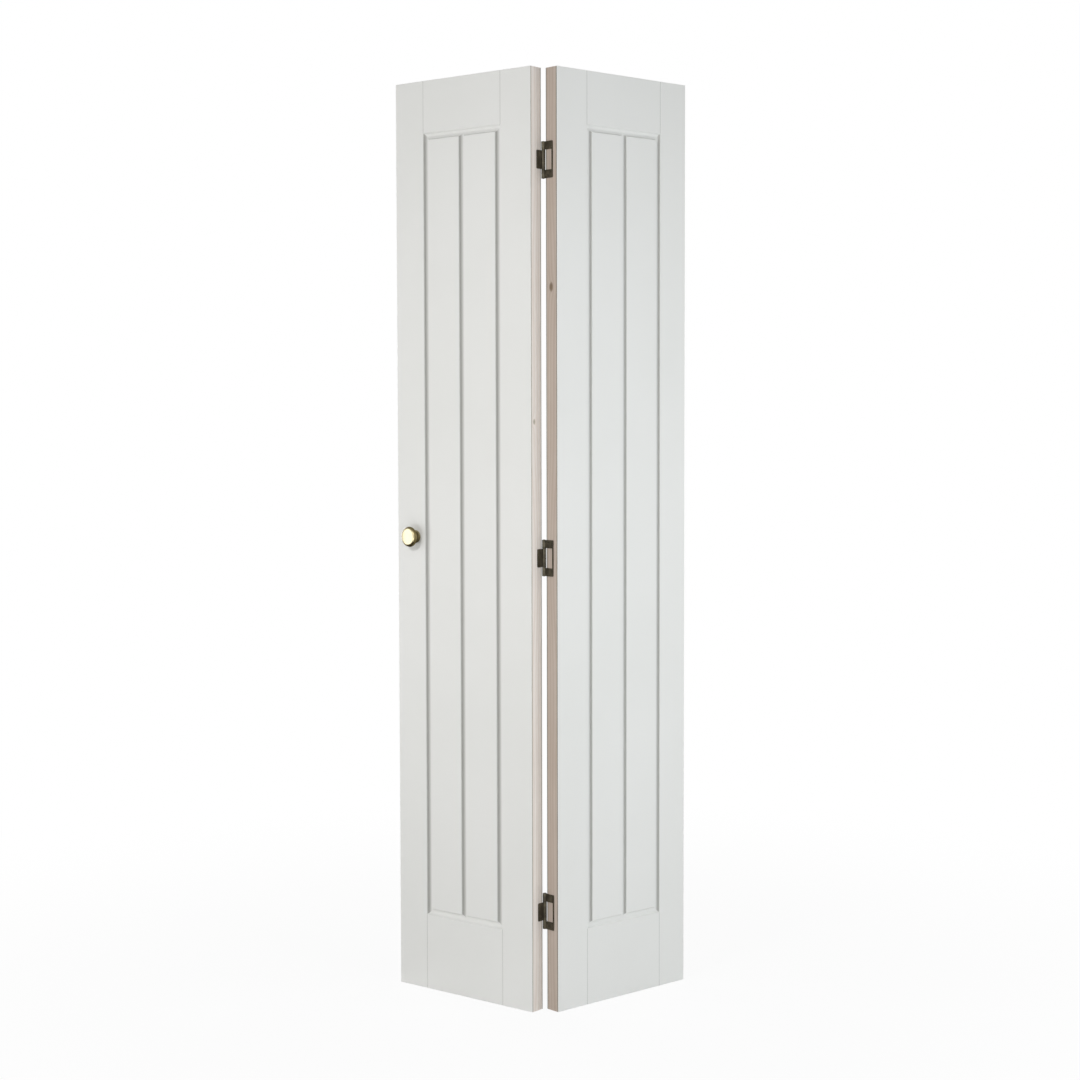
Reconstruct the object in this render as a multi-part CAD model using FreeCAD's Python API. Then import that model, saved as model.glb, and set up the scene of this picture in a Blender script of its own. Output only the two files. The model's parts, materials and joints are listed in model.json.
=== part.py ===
"""Two-leaf bifold closet door, part folded and standing on the floor.

Each leaf is a hollow-core slab: two pressed fibreboard skins, moulded as a two-plank panel,
glued over a softwood frame with an expanded paper honeycomb between them. Three flush hinges
join the leaves: the outer plates lie on the jamb leaf, the inner plates nest in their windows
and lie on the lead leaf, which carries the knob.

Frame: +Z up, the front towards -Y, the origin in the middle of the footprint on the floor.
A leaf is drawn laid flat in a frame of its own: x runs outwards from its hinge edge, the back
face is y = 0, the front face is y = -leaf_thickness, and z is the height. place() puts it up.
"""
import FreeCAD, Part
import math
import os

V = FreeCAD.Vector

# Whole door, in mm and degrees
door_width = 762.0            # both leaves laid flat, with the gap between them
door_height = 1981.0
leaf_thickness = 35.0
fold_angle = 40.6             # each leaf swung back out of the plane of the flat door

# Pressed skins
skin_thickness = 3.2
hinge_margin = 85.0           # hinge edge to the arris of the moulded panel
outer_margin = 77.0           # outer edge to the arris
top_margin = 112.0
bottom_margin = 165.0
lead_panel_shift = 3.0        # the lead leaf's panel lies this much nearer the hinges
groove_width = 14.8
groove_floor = 5.0            # flat bottom between the two sloping sides
groove_depth = 5.5
plank_count = 2
joint_line_width = 1.4        # scored lines where stiles and rails would meet
joint_line_depth = 0.7

# Softwood frame
stile_width = 45.0
top_rail_height = 60.0
bottom_rail_height = 75.0
lock_block_height = 250.0

# Paper honeycomb
core_paper = 1.0
core_waves = 2                # full waves of a ribbon from stile to stile
core_ribbons = 10
glue_flat = 30.0              # length over which two ribbons are glued
core_clearance = 0.3          # crushed clear of the skins' mouldings

# Corrugated fasteners across the frame's corner joints
fastener_width = 24.0
fastener_depth = 10.0
fastener_sheet = 0.6
fastener_bends = 6
fastener_wave = 2.4

# Flush hinges
hinge_height = 76.2
hinge_reach = 22.4            # from the back face onto the leaf's edge
hinge_sheet = 1.4
hinge_clearance = 1.0         # plate to the opposite edge, door laid flat
axis_setback = 6.0            # hinge axis behind the back faces
window_height = 42.0
window_reach = 19.0
nest_clearance = 1.8          # inner plate inside the window, above and below
nest_tip_clearance = 3.2      # inner plate's free end inside the window
plate_corner = 2.5
pin_radius = 1.1
pin_press = 0.02              # radial, pin in the end knuckles
pin_running = 0.05            # radial, pin in the middle knuckle
knuckle_gap = 0.5
top_hinge_drop = 189.0        # door's top to the middle of the top hinge
low_hinge_height = 210.0
middle_hinge_drop = 39.0      # below the mean height of the other two

# Countersunk hinge screws
screw_head_radius = 3.3
screw_shank_radius = 1.6
screw_length = 19.0
screw_fit = 0.05
screw_margin = 5.5            # screw centre to the edges of a plate
screw_sides = 8               # flat sides that stand for the small round ones

# Spun brass knob
knob_height = 998.0
knob_backset = 51.8           # knob axis to the lead leaf's outer edge
knob_diameter = 44.5
knob_base_diameter = 28.0
knob_neck_diameter = 23.6
knob_projection = 27.0
knob_wall = 1.2
knob_rim_stand = 19.0         # door face to the back of the rim
knob_waist_stand = 7.3        # door face to the narrowest part of the back
knob_rim_width = 2.6
knob_base_edge = 1.6
knob_dome_bands = 2           # conical bands that make up the shallow dome
insert_radius = 5.5
bolt_radius = 2.05
bolt_clearance = 0.35
bolt_engagement = 9.5
bolt_head_radius = 4.8
bolt_head_height = 2.2

# Holes for the pivots and the guide of the overhead track
pivot_radius = 4.75
pivot_depth = 32.0
pivot_backset = 28.0          # from the outer edge

# Worked out from the above
leaf_gap = hinge_sheet + hinge_clearance
leaf_width = (door_width - leaf_gap) / 2
frame_front = -leaf_thickness + skin_thickness
frame_back = -skin_thickness
frame_middle = -leaf_thickness / 2
groove_side = (groove_width - groove_floor) / 2
bulge_overhang = skin_thickness * math.tan(math.atan2(groove_depth, groove_side) / 2)
inner_height = window_height - 2 * nest_clearance
inner_reach = window_reach - nest_tip_clearance
knuckle_radius = pin_radius + pin_running + hinge_sheet
axis_x = -leaf_gap / 2
top_hinge_height = door_height - top_hinge_drop
middle_hinge_height = (top_hinge_height + low_hinge_height) / 2 - middle_hinge_drop
hinge_heights = {"top": top_hinge_height, "middle": middle_hinge_height, "low": low_hinge_height}
knob_x = leaf_width - knob_backset
pivot_x = leaf_width - pivot_backset

fold = math.radians(fold_angle)
front_reach = (leaf_gap / 2) * math.sin(fold) - (axis_setback + leaf_thickness) * math.cos(fold)
rear_reach = (leaf_gap / 2 + leaf_width) * math.sin(fold) - axis_setback * math.cos(fold)
axis_y = -(front_reach + rear_reach) / 2

JAMB = 1
LEAD = -1


def box(x0, x1, y0, y1, z0, z1):
    return Part.makeBox(x1 - x0, y1 - y0, z1 - z0, V(x0, y0, z0))


def prism(corners, along):
    """Solid swept from a closed polygon by the vector along."""
    outline = Part.makePolygon(corners + corners[:1])
    return Part.Face(outline).extrude(along)


def stacked(rings):
    """Flat-sided solid through rings with equally many corners."""
    sides = [Part.Face(Part.makePolygon(ring + ring[:1])) for ring in (rings[0], rings[-1])]
    for ring, further in zip(rings, rings[1:]):
        corners = zip(ring, ring[1:] + ring[:1], further[1:] + further[:1], further)
        sides += [Part.Face(Part.makePolygon([a, b, c, d, a])) for a, b, c, d in corners]
    solid = Part.Solid(Part.Shell(sides))
    return solid if solid.Volume > 0 else Part.Solid(solid.reversed().Shells[0])


def turned(profile):
    """Solid of revolution about the Y axis, from the corners (radius, y) of its half section."""
    corners = [V(radius, y, 0) for radius, y in profile]
    return Part.Face(Part.makePolygon(corners + corners[:1])).revolve(V(0, 0, 0), V(0, 1, 0), 360)


def rod(radius, start, end):
    """Cylinder between two points."""
    return Part.makeCylinder(radius, (end - start).Length, start, end - start)


def place(shape, side):
    """Move a shape from a leaf's flat frame to its place in the part-folded door."""
    moved = shape.mirror(V(0, 0, 0), V(1, 0, 0)) if side == LEAD else shape.copy()
    moved.translate(V(side * leaf_gap / 2, -axis_setback, 0))
    moved.rotate(V(0, 0, 0), V(0, 0, 1), side * fold_angle)
    moved.translate(V(0, axis_y, 0))
    return moved


# Skins

def inset(rectangle, distance):
    x0, x1, z0, z1 = rectangle
    return x0 + distance, x1 - distance, z0 + distance, z1 - distance


def frustum(rectangle, y, end_rectangle, end_y):
    """Flat-sided solid from one upright rectangle to another."""
    rings = [[V(x0, depth, z0), V(x1, depth, z0), V(x1, depth, z1), V(x0, depth, z1)]
             for (x0, x1, z0, z1), depth in ((rectangle, y), (end_rectangle, end_y))]
    return stacked(rings)


def wedge(x, half_width, y, tip_y, z0, z1):
    """Upright bar of triangular section, its tip at tip_y."""
    corners = [V(x - half_width, y, z0), V(x + half_width, y, z0), V(x, tip_y, z0)]
    return prism(corners, V(0, 0, z1 - z0))


def trough(x, half_width, y, half_floor, floor_y, z0, z1):
    """Upright bar of trapezoidal section, its narrow side at floor_y."""
    corners = [V(x - half_width, y, z0), V(x + half_width, y, z0),
               V(x + half_floor, floor_y, z0), V(x - half_floor, floor_y, z0)]
    return prism(corners, V(0, 0, z1 - z0))


def panel_of(side):
    """Rectangle of a leaf's moulded panel, from arris to arris: x0, x1, z0, z1."""
    shift = lead_panel_shift if side == LEAD else 0
    x0, x1 = hinge_margin - shift, leaf_width - outer_margin - shift
    return x0, x1, bottom_margin, door_height - top_margin


def moulding(panel, y, inward, spread, depth):
    """The panel's mitred ring of grooves, with the groove between the planks.

    A groove is groove_width + 2 * spread wide on the plane y, and its floor, as much wider than
    groove_floor, lies depth deep along inward.
    """
    floor_y = y + inward * depth
    outside = frustum(inset(panel, -spread), y, inset(panel, groove_side - spread), floor_y)
    island = frustum(inset(panel, groove_width + spread), y,
                     inset(panel, groove_width - groove_side + spread), floor_y)
    x0, x1, z0, z1 = inset(panel, groove_width / 2)
    pitch = (x1 - x0) / plank_count
    between = [trough(x0 + k * pitch, groove_width / 2 + spread, y, groove_floor / 2 + spread, floor_y,
                      z0, z1)
               for k in range(1, plank_count)]
    return outside.cut(island).fuse(between)


def skin(panel, face_y, inward):
    """Pressed skin of even thickness: the grooves show inside as ridges."""
    inner_y = face_y + inward * skin_thickness
    sheet = box(0, leaf_width, min(face_y, inner_y), max(face_y, inner_y), 0, door_height)
    pressed = sheet.fuse(moulding(panel, inner_y, inward, bulge_overhang, groove_depth))
    x0, x1, z0, z1 = panel
    tip_y = face_y + inward * joint_line_depth
    scored = [wedge(x, joint_line_width / 2, face_y, tip_y, start, end)
              for x in (x0, x1) for start, end in ((0, z0), (z1, door_height))]
    return pressed.cut([moulding(panel, face_y, inward, 0, groove_depth)] + scored)


# Frame

def stile(x0):
    return box(x0, x0 + stile_width, frame_front, frame_back, 0, door_height)


def rail(z0, height):
    return box(stile_width, leaf_width - stile_width, frame_front, frame_back, z0, z0 + height)


def lock_block(panel):
    """Block beside the outer stile, as wide as the moulding beside it leaves room for."""
    x1 = leaf_width - stile_width
    x0 = panel[1] + bulge_overhang + core_clearance
    half = lock_block_height / 2
    return box(x0, x1, frame_front, frame_back, knob_height - half, knob_height + half)


def corner_fasteners():
    """Four corrugated fasteners, driven from the front across the stile and rail joints."""
    heights = (bottom_rail_height / 2, door_height - top_rail_height / 2)
    joints = (stile_width, leaf_width - stile_width)
    step = fastener_width / fastener_bends
    solids = []
    for x in joints:
        for z in heights:
            lower = [V(x - fastener_width / 2 + i * step, frame_front, z + (i % 2) * fastener_wave)
                     for i in range(fastener_bends + 1)]
            upper = [p + V(0, 0, fastener_sheet) for p in reversed(lower)]
            solids.append(prism(lower + upper, V(0, fastener_depth, 0)))
    return solids


def honeycomb(panel):
    """Waved ribbons glued crest to trough, crushed where the skins' ridges press in."""
    x0, x1 = stile_width, leaf_width - stile_width
    z0, z1 = bottom_rail_height, door_height - top_rail_height
    pitch = (z1 - z0) / core_ribbons
    rise = (pitch - core_paper) / 2
    half_wave = (x1 - x0) / (2 * core_waves)
    ribbons = []
    for k in range(core_ribbons):
        middle = z0 + (k + 0.5) * pitch
        lower = []
        for j in range(2 * core_waves + 1):
            z = middle - core_paper / 2 + rise * (1 if (j + k) % 2 else -1)
            for end in (-glue_flat / 2, glue_flat / 2):
                x = min(max(x0 + j * half_wave + end, x0), x1)
                lower.append(V(x, frame_front, z))
        upper = [p + V(0, 0, core_paper) for p in reversed(lower)]
        ribbons.append(prism(lower + upper, V(0, frame_back - frame_front, 0)))
    core = ribbons[0].fuse(ribbons[1:]).removeSplitter()
    spread = bulge_overhang + core_clearance
    depth = groove_depth + core_clearance
    ridges = [moulding(panel, y, inward, spread, depth)
              for y, inward in ((frame_front, 1), (frame_back, -1))]
    return core.cut(ridges)


# Hinges, drawn about z = 0

def plate(half_height, reach):
    """Flat plate on the leaf's edge, from the hinge axis to its reach, with rounded corners."""
    blank = box(-hinge_sheet, 0, -reach, axis_setback, -half_height, half_height)
    free_end = [e for e in blank.Edges
                if e.BoundBox.XLength > hinge_sheet / 2 and abs(e.CenterOfMass.y + reach) < 0.01]
    return blank.makeFillet(plate_corner, free_end)


def knuckle(z0, z1):
    return rod(knuckle_radius, V(axis_x, axis_setback, z0), V(axis_x, axis_setback, z1))


def pin_hole(clearance):
    end = V(axis_x, axis_setback, hinge_height)
    return rod(pin_radius + clearance, V(axis_x, axis_setback, -hinge_height), end)


def outer_screw_places():
    """Depth from the back face and height of each screw: two in each end tab."""
    near = (inner_reach / 2, hinge_height / 2 - screw_margin)
    far = (hinge_reach - screw_margin, window_height / 2 + screw_margin)
    return [(depth, sign * z) for depth, z in (near, far) for sign in (-1, 1)]


def inner_screw_places():
    return [(inner_reach / 2, sign * (inner_height / 2 - screw_margin)) for sign in (-1, 1)]


def hinge_screw(depth, z, extra=0.0):
    """Screw countersunk in the plate and driven into the leaf's edge; extra makes it its own hole."""
    point = screw_length - hinge_sheet + extra
    sections = ((screw_head_radius, -hinge_sheet), (screw_shank_radius, 0), (screw_shank_radius, point))
    turns = [2 * math.pi * k / screw_sides for k in range(screw_sides)]
    rings = [[V(x, (radius + extra) * math.cos(t) - depth, (radius + extra) * math.sin(t) + z)
              for t in turns] for radius, x in sections]
    return stacked(rings)


def outer_plate():
    """C-shaped plate with a knuckle at each end of its open side."""
    half = window_height / 2
    window = box(-hinge_sheet, 0, -window_reach, axis_setback, -half, half)
    body = plate(hinge_height / 2, hinge_reach).cut(window)
    inner_end = inner_height / 2 + knuckle_gap
    body = body.fuse([knuckle(inner_end, hinge_height / 2), knuckle(-hinge_height / 2, -inner_end)])
    holes = [hinge_screw(depth, z, screw_fit) for depth, z in outer_screw_places()]
    return body.cut(holes + [pin_hole(pin_press)]).removeSplitter()


def inner_plate():
    """Plate that nests in the outer plate's window, with the middle knuckle."""
    body = plate(inner_height / 2, inner_reach).fuse(knuckle(-inner_height / 2, inner_height / 2))
    holes = [hinge_screw(depth, z, screw_fit) for depth, z in inner_screw_places()]
    return body.cut(holes + [pin_hole(pin_running)]).removeSplitter()


def hinge_pin():
    end = V(axis_x, axis_setback, hinge_height / 2)
    return rod(pin_radius, V(axis_x, axis_setback, -hinge_height / 2), end)


def at_hinge(shape, z):
    moved = shape.copy()
    moved.translate(V(0, 0, z))
    return moved


def screws_of(places, extra=0.0):
    return [at_hinge(hinge_screw(depth, z, extra), height)
            for height in hinge_heights.values() for depth, z in places]


# Knob, drawn about the Y axis with the door's face at y = 0

def knob_back():
    """Trumpet-shaped back on a base disc, bored for the insert."""
    base_radius = knob_base_diameter / 2
    rim_radius = knob_diameter / 2 - knob_wall - pin_running
    neck_radius = knob_neck_diameter / 2
    profile = [(insert_radius, 0), (base_radius, 0), (base_radius, -knob_base_edge),
               (neck_radius, -knob_base_edge), (neck_radius, -knob_waist_stand),
               (rim_radius, -knob_rim_stand), (insert_radius, -knob_rim_stand)]
    return turned(profile)


def knob_face():
    """Shallow domed face on the back's rim, with a skirt that closes over the rim."""
    outer = knob_diameter / 2
    inner = outer - knob_wall
    seat = -knob_rim_stand
    edge = seat - knob_rim_width
    rise = knob_projection + edge
    sphere = (outer ** 2 + rise ** 2) / (2 * rise)
    half_angle = math.asin(outer / sphere)
    turns = [half_angle * (1 - k / knob_dome_bands) for k in range(knob_dome_bands + 1)]
    dome = [(sphere * math.sin(t), sphere * (1 - math.cos(t)) - knob_projection) for t in turns]
    skirt = [(0, seat), (inner, seat), (inner, seat + knob_wall), (outer, seat + knob_wall)]
    return turned(skirt + dome)


def knob_insert():
    """Threaded boss inside the knob, standing on the door."""
    boss = rod(insert_radius - pin_running, V(0, 0, 0), V(0, -knob_rim_stand, 0))
    return boss.cut(rod(bolt_radius + pin_running, V(0, 0, 0), V(0, -bolt_engagement - knob_wall, 0)))


def knob_bolt():
    """Machine screw from the back of the leaf into the knob's insert."""
    back = V(0, leaf_thickness, 0)
    head = rod(bolt_head_radius, back, back + V(0, bolt_head_height, 0))
    return head.fuse(rod(bolt_radius, back, V(0, -bolt_engagement, 0)))


def at_knob(shape):
    moved = shape.copy()
    moved.translate(V(knob_x, -leaf_thickness, knob_height))
    return moved


def pivot_bore(mouth_z, into):
    """Hole in the end of an outer stile; into is +1 upwards from the foot, -1 down from the top."""
    mouth = V(pivot_x, frame_middle, mouth_z)
    return rod(pivot_radius, mouth, mouth + V(0, 0, into * pivot_depth))


def leaf_pieces(panel, bores):
    """Skins, frame, core and fasteners of one leaf, with bores cut in its outer stile."""
    fasteners = corner_fasteners()
    return {
        "front_skin": skin(panel, -leaf_thickness, 1),
        "back_skin": skin(panel, 0, -1),
        "outer_stile": stile(leaf_width - stile_width).cut(fasteners + bores),
        "hinge_stile": stile(0).cut(fasteners),
        "top_rail": rail(door_height - top_rail_height, top_rail_height).cut(fasteners),
        "bottom_rail": rail(0, bottom_rail_height).cut(fasteners),
        "honeycomb_core": honeycomb(panel),
        "corner_fasteners": Part.makeCompound(fasteners),
    }


def build():
    head_bore = pivot_bore(door_height, -1)
    jamb = leaf_pieces(panel_of(JAMB), [pivot_bore(0, 1), head_bore])
    lead = leaf_pieces(panel_of(LEAD), [head_bore])
    lead["lock_block"] = lock_block(panel_of(LEAD))
    lead["honeycomb_core"] = lead["honeycomb_core"].cut(lead["lock_block"])
    bolt_hole = at_knob(rod(bolt_radius + bolt_clearance, V(0, leaf_thickness, 0), V(0, 0, 0)))
    for name in ("front_skin", "back_skin", "outer_stile", "lock_block"):
        lead[name] = lead[name].cut(bolt_hole)
    jamb["hinge_stile"] = jamb["hinge_stile"].cut(screws_of(outer_screw_places(), screw_fit))
    lead["hinge_stile"] = lead["hinge_stile"].cut(screws_of(inner_screw_places(), screw_fit))
    for name, height in hinge_heights.items():
        jamb[name + "_outer_plate"] = at_hinge(outer_plate(), height)
        lead[name + "_inner_plate"] = at_hinge(inner_plate(), height)
        jamb[name + "_pin"] = at_hinge(hinge_pin(), height)
    jamb["hinge_screws"] = Part.makeCompound(screws_of(outer_screw_places()))
    lead["hinge_screws"] = Part.makeCompound(screws_of(inner_screw_places()))
    for name, shape in (("knob_face", knob_face()), ("knob_back", knob_back()),
                        ("knob_insert", knob_insert()), ("knob_bolt", knob_bolt())):
        lead[name] = at_knob(shape)
    nodes = {"jamb_" + name: place(shape, JAMB) for name, shape in jamb.items()}
    nodes.update({"lead_" + name: place(shape, LEAD) for name, shape in lead.items()})
    return nodes


os.makedirs("parts", exist_ok=True)
for node, shape in build().items():
    shape.exportStep("parts/" + node + ".step")
    print(node, "solids", len(shape.Solids), "valid", shape.isValid(), "volume", round(shape.Volume))
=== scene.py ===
"""Looks of a two-leaf bifold closet door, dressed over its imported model.

Everything is in metres and in the model's own frame: +Z up, the front towards -Y. A leaf's flat
frame has u running outwards from its hinge edge, v from the back face (0) towards the front face
(negative) and w as the height. Leaf.stand() puts points of that frame where the leaf stands.
"""
import json
import math

import bmesh
import bpy
import numpy as np
from mathutils import Matrix, Vector


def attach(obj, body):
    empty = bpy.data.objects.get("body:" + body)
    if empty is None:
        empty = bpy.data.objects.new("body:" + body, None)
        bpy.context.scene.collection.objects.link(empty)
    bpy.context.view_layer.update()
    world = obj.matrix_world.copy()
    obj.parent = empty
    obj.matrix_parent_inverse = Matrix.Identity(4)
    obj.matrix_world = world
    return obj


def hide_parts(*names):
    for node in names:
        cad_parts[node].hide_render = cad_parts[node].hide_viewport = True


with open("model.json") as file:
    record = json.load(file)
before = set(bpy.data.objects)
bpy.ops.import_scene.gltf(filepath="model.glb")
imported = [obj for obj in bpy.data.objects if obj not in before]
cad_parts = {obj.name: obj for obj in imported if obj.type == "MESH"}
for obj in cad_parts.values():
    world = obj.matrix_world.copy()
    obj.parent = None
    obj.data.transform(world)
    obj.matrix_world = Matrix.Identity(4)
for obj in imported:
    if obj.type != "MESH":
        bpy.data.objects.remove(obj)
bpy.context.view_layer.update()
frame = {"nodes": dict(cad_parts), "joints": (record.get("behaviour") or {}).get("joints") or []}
nodes = frame["nodes"]
joint = frame["joints"][0]

FOLD = math.radians(joint["range_deg"][1] / 2)      # each leaf's swing out of the flat door
HINGE_LINE = np.array(joint["pos_m"])
AXIS_BEHIND = 0.006                                 # hinge line behind the back faces
AXIS_BESIDE = 0.0012                                # hinge line outside a leaf's hinge edge
HINGES = ("top", "middle", "low")
JOIN_DISTANCE = 1e-6                                # points closer than this are one
TINY = 1e-7                                         # slack where two lengths are compared

# Moulding of a skin
SKIN = 0.0032
ARRIS = 0.0007
ARRIS_STEPS = 5
BESIDE_ARRIS = 0.0006                               # strip of the face that keeps its normals flat
HINGE_MARGINS = {"jamb": 0.085, "lead": 0.082}      # hinge edge to the moulding's arris
PANEL_WIDTH = 0.2178                                # arris to arris
PANEL_SPANS = 13                                    # rows of faces between the level grooves
TOP_MARGIN, FOOT_MARGIN = 0.112, 0.165
GROOVE_HALF = 0.0074
GROOVE_DEPTH = 0.0055
GROOVE_POWER = 3.0                                  # 1 is a plain V, higher powers are steeper
GROOVE_STEPS = 20
SCORE_HALF = 0.0007
SCORE_DEPTH = 0.0005

# Painted shade of the grooves and scored lines
SHADE_LINES = {"jamb": (0.18, 0.86, 1.08),          # start, peak and end, in halves of a groove
               "lead": (-0.32, 0.80, 1.08)}
TOP_SHADE_LINE = (-0.5, 0.2, 0.8)
SHADE_TOP = 0.25
SCORE_SHADE = 1.0
MITRE_BLUR = 0.0015
GROOVE_TINT = 0.76                                  # share of the painted shade's colour at full shade
# colour that the painted shade in the grooves and scored lines darkens towards
GROOVE_SHADE_TONE = (0.210, 0.205, 0.190)

# Hinges
PLATE_EASE = 0.00025
BARREL_RADIUS = 0.0044
BARREL_SHEET = 0.0013
BARREL_EASE = 0.00025
BARREL_PAST = 0.0001                                # each end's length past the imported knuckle
BARREL_STEPS = 48
ROLL_START, ROLL_END = 10.0, 352.0                  # of the rolled sheet, in degrees
LEAD_ROLL_TURN = 0.3                                # the lead leaf's roll is turned by so much
PIN_RADIUS = 0.0023
PIN_DOME = 0.45                                     # a dome's height over the pin's radius
PIN_SIDES = 28

# Screws and bolt: a recess has a depth, half its length and half its width
RECESS_WALL = 0.0003                                # width of a recess's sloping wall
SCREW_RECESS = (0.0010, 0.0019, 0.00055)
SCREW_RINGS = [(0.0028, 0.0), (0.00315, 0.00002),   # radius, and drop below the head's face
               (0.0033, 0.0002), (0.0016, 0.0014), (0.0016, 0.0165), (0.0, 0.0172)]
SCREW_SIDES = 40
BOLT_RECESS = (0.0013, 0.0026, 0.00065)
BOLT_RINGS = (0.72, 0.84, 0.93, 0.985)              # radii round its recess, over the head's
BOLT_TURN = 0.5                                     # turn of its recess, in radians
BOLT_CROWN = 0.0011                                 # drop of its head towards the rim
BOLT_SHANK = 0.00205
BOLT_SIDES = 56

# Knob
CROWN_SHARE = 0.70                                  # the crown's radius over the face's
CROWN_SLOPE = 6.0                                   # slope in degrees where the crown ends
SHOULDER_SLOPE = 78.0                               # and where the shoulder ends
RIM_ROLL = 0.0012
SKIRT_INSET = 0.0004
BASE_RADIUS = 0.0140
BASE_EASE = 0.0007
NECK_RADIUS = 0.0118
WAIST_STAND = 0.0062                                # the waist's distance from the leaf
BORE_RADIUS = 0.0058
KNOB_SIDES = 96
# painted dark reflection: the brass goes towards this olive on the face's rim and over the back
DARK_REFLECTION_TONE = (0.140, 0.112, 0.046)
DARK_REFLECTION_START = 0.75                                # share of the radius where the painted dark reflection sets in
DARK_REFLECTION_SPREAD = 0.12                               # and the share in which it grows to full
BACK_DARK_REFLECTION = 0.8

# Wood
HEART_BESIDE = 0.085                                # heart of the tree, along u
HEART_BEHIND = 0.055                                # and along v
RINGS_A_METRE = 330.0
RING_DRIFT = 0.016
KNOT_PUSH = 0.006                                   # how far a knot's middle moves the rings
KNOT_TALL = 1.7                                     # a knot's height over its width
PINE_TONES = {                                      # two of early wood, late wood, knots
    # the jamb's tones are darker than the lead's: painted shade over the same pine
    "jamb": [(0.490, 0.412, 0.352), (0.534, 0.460, 0.404),
             (0.385, 0.296, 0.228), (0.210, 0.155, 0.105)],
    "lead": [(0.790, 0.735, 0.685), (0.830, 0.785, 0.740),
             (0.670, 0.560, 0.480), (0.440, 0.400, 0.320)],
}
EDGE_TONES = {                                      # dark and pale layers of the pressed board
    # the jamb's tones are darker than the lead's: painted shade over the same board
    "jamb": [(0.205, 0.190, 0.160), (0.285, 0.270, 0.235)],
    "lead": [(0.340, 0.315, 0.270), (0.460, 0.435, 0.390)],
}
KNOTS = {                                           # v, w and half the width of each
    "jamb": [(-0.0222, 1.5285, 0.0062), (-0.0065, 0.7980, 0.0034)],
    "lead": [(-0.0305, 1.2480, 0.0036)],
}

# Studio
WHITE = (1.0, 1.0, 1.0, 1.0)
AMBIENT_TONE = (1.0, 0.99, 0.98, 1.0)
FLOOR_TONE = (0.82, 0.82, 0.82, 1.0)
FLOOR_FADE = (0.5, 2.4)                             # distances over which its shadow fades out
FLAG_TONE = (0.075, 0.050, 0.030, 1.0)
WARM, COOL = (1.0, 0.992, 0.985), (0.950, 0.978, 1.0)
LAMPS = [            # azimuth, distance, height, height aimed at, width and height, power, tone
    ("key_softbox", -33, 2.5, 2.05, 0.5, (0.6, 0.3), 24.6, WARM),
    ("low_softbox", -38, 2.6, 0.35, 0.5, (1.2, 0.5), 9.6, WARM),
    ("left_softbox", -84, 2.4, 1.20, 1.1, (0.9, 1.9), 7.3, WARM),
    ("front_softbox", 40, 2.4, 1.20, 1.1, (0.7, 1.9), 15.8, COOL),
    ("right_softbox", 70, 2.4, 1.20, 1.1, (0.7, 1.9), 15.2, COOL),
    ("back_left_softbox", -140, 2.6, 1.30, 1.0, (0.9, 1.7), 18.0, WARM),
    ("back_right_softbox", 140, 2.6, 1.30, 1.0, (0.9, 1.7), 18.0, COOL),
]


# Shader nodes

class Wire:
    """An output of a shader node. Arithmetic on it adds Math nodes."""

    def __init__(self, finish, socket):
        self.finish = finish
        self.socket = socket

    def math(self, operation, *operands):
        values = dict(enumerate(operands))
        return self.finish.add("ShaderNodeMath", {"operation": operation}, values)

    def __add__(self, other):
        return self.math("ADD", self, other)

    def __radd__(self, other):
        return self.math("ADD", other, self)

    def __sub__(self, other):
        return self.math("SUBTRACT", self, other)

    def __rsub__(self, other):
        return self.math("SUBTRACT", other, self)

    def __mul__(self, other):
        return self.math("MULTIPLY", self, other)

    def __rmul__(self, other):
        return self.math("MULTIPLY", other, self)

    def __truediv__(self, other):
        return self.math("DIVIDE", self, other)

    def __rtruediv__(self, other):
        return self.math("DIVIDE", other, self)

    def most(self, other):
        return self.math("MAXIMUM", self, other)

    def root(self):
        return self.math("SQRT", self)

    def part(self):
        """What is left over a whole number."""
        return self.math("FRACT", self)

    def step(self, start, end):
        """0 before start, 1 past end and smooth between them."""
        values = {"Value": self, "From Min": start, "From Max": end}
        return self.finish.add("ShaderNodeMapRange", {"interpolation_type": "SMOOTHSTEP"}, values)


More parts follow.
